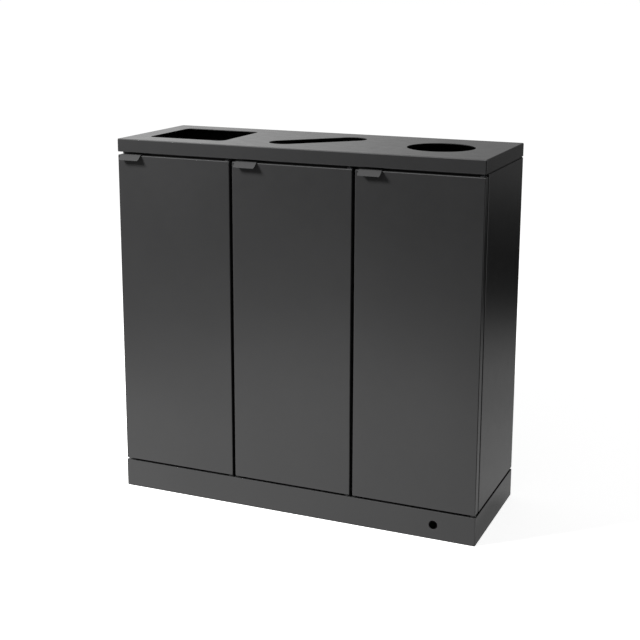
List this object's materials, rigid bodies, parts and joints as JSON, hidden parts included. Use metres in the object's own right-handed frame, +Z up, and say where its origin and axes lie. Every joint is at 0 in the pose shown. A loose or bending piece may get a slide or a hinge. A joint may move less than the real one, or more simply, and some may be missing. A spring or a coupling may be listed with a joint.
{
  "type": "litter bin",
  "caption": "Folded-steel litter and recycling cabinet on a plinth, with shaped drop openings in the lid and hinged doors over removable inner bins.",
  "frame": {"origin": "centre of the bounding box on the floor, under the levelling feet", "axes": "+X along the width to the right as seen facing the doors, +Y from the doors to the back, +Z up"},
  "size_m": [0.93, 0.346, 0.9],
  "materials": {
    "charcoal_powder_coat": "satin charcoal powder coat with a fine texture",
    "zinc_plated_steel": "bright zinc plating",
    "black_nylon": "moulded black nylon",
    "bin_plastic": "moulded dark grey polypropylene",
    "black_rubber": "matt black rubber"
  },
  "bodies": {
    "cabinet": {"plinth_frame": "charcoal_powder_coat", "base_shelf": "charcoal_powder_coat", "side_panel_left": "charcoal_powder_coat", "side_panel_right": "charcoal_powder_coat", "back_panel": "charcoal_powder_coat", "partition_left": "charcoal_powder_coat", "partition_right": "charcoal_powder_coat", "front_top_rail": "charcoal_powder_coat", "rear_top_rail": "charcoal_powder_coat", "side_top_rail_left": "charcoal_powder_coat", "side_top_rail_right": "charcoal_powder_coat", "lid": "charcoal_powder_coat", "lid_nut_front_left": "zinc_plated_steel", "lid_nut_front_right": "zinc_plated_steel", "lid_nut_rear_left": "zinc_plated_steel", "lid_nut_rear_right": "zinc_plated_steel", "hinge_pin_bottom_left": "zinc_plated_steel", "hinge_pin_bottom_middle": "zinc_plated_steel", "hinge_pin_bottom_right": "zinc_plated_steel", "hinge_pin_top_left": "zinc_plated_steel", "hinge_pin_top_middle": "zinc_plated_steel", "hinge_pin_top_right": "zinc_plated_steel", "magnet_catch_left": "black_nylon", "magnet_catch_middle": "black_nylon", "magnet_catch_right": "black_nylon", "door_buffer_left": "black_rubber", "door_buffer_middle": "black_rubber", "door_buffer_right": "black_rubber", "foot_bracket_front_left": "zinc_plated_steel", "foot_bracket_front_right": "zinc_plated_steel", "foot_bracket_rear_left": "zinc_plated_steel", "foot_bracket_rear_right": "zinc_plated_steel"},
    "door_leaf_left": {"door_left": "charcoal_powder_coat", "door_stiffener_left": "charcoal_powder_coat", "pull_tab_left": "charcoal_powder_coat", "strike_plate_left": "zinc_plated_steel", "hinge_bush_bottom_left": "black_nylon", "hinge_bush_top_left": "black_nylon"},
    "door_leaf_middle": {"door_middle": "charcoal_powder_coat", "door_stiffener_middle": "charcoal_powder_coat", "pull_tab_middle": "charcoal_powder_coat", "strike_plate_middle": "zinc_plated_steel", "hinge_bush_bottom_middle": "black_nylon", "hinge_bush_top_middle": "black_nylon"},
    "door_leaf_right": {"door_right": "charcoal_powder_coat", "door_stiffener_right": "charcoal_powder_coat", "pull_tab_right": "charcoal_powder_coat", "strike_plate_right": "zinc_plated_steel", "hinge_bush_bottom_right": "black_nylon", "hinge_bush_top_right": "black_nylon"},
    "bin_left": {"inner_bin_left": "bin_plastic"},
    "bin_middle": {"inner_bin_middle": "bin_plastic"},
    "bin_right": {"inner_bin_right": "bin_plastic"},
    "bag_holder_left": {"bag_frame_left": "charcoal_powder_coat"},
    "bag_holder_middle": {"bag_frame_middle": "charcoal_powder_coat"},
    "bag_holder_right": {"bag_frame_right": "charcoal_powder_coat"},
    "foot_front_left": {"levelling_foot_front_left": "zinc_plated_steel"},
    "foot_front_right": {"levelling_foot_front_right": "zinc_plated_steel"},
    "foot_rear_left": {"levelling_foot_rear_left": "zinc_plated_steel"},
    "foot_rear_right": {"levelling_foot_rear_right": "zinc_plated_steel"}
  },
  "joints": [
    {"name": "door_left_hinge", "type": "hinge", "parent": "cabinet", "child": "door_leaf_left", "pos_m": [-0.1674, -0.147, 0.46], "axis": [0, 0, 1], "range_deg": [0, 100]},
    {"name": "door_middle_hinge", "type": "hinge", "parent": "cabinet", "child": "door_leaf_middle", "pos_m": [0.1442, -0.147, 0.46], "axis": [0, 0, 1], "range_deg": [0, 100]},
    {"name": "door_right_hinge", "type": "hinge", "parent": "cabinet", "child": "door_leaf_right", "pos_m": [0.4558, -0.147, 0.46], "axis": [0, 0, 1], "range_deg": [0, 100]},
    {"name": "bin_left_lift", "type": "slide", "parent": "cabinet", "child": "bin_left", "axis": [0, 0, 1], "range_m": [0, 0.02]},
    {"name": "bin_middle_lift", "type": "slide", "parent": "cabinet", "child": "bin_middle", "axis": [0, 0, 1], "range_m": [0, 0.02]},
    {"name": "bin_right_lift", "type": "slide", "parent": "cabinet", "child": "bin_right", "axis": [0, 0, 1], "range_m": [0, 0.02]},
    {"name": "bag_frame_left_lift", "type": "slide", "parent": "bin_left", "child": "bag_holder_left", "axis": [0, 0, 1], "range_m": [0, 0.03]},
    {"name": "bag_frame_middle_lift", "type": "slide", "parent": "bin_middle", "child": "bag_holder_middle", "axis": [0, 0, 1], "range_m": [0, 0.03]},
    {"name": "bag_frame_right_lift", "type": "slide", "parent": "bin_right", "child": "bag_holder_right", "axis": [0, 0, 1], "range_m": [0, 0.03]},
    {"name": "foot_front_left_screw", "type": "slide", "parent": "cabinet", "child": "foot_front_left", "axis": [0, 0, -1], "range_m": [0, 0.012]},
    {"name": "foot_front_right_screw", "type": "slide", "parent": "cabinet", "child": "foot_front_right", "axis": [0, 0, -1], "range_m": [0, 0.012]},
    {"name": "foot_rear_left_screw", "type": "slide", "parent": "cabinet", "child": "foot_rear_left", "axis": [0, 0, -1], "range_m": [0, 0.012]},
    {"name": "foot_rear_right_screw", "type": "slide", "parent": "cabinet", "child": "foot_rear_right", "axis": [0, 0, -1], "range_m": [0, 0.012]}
  ]
}
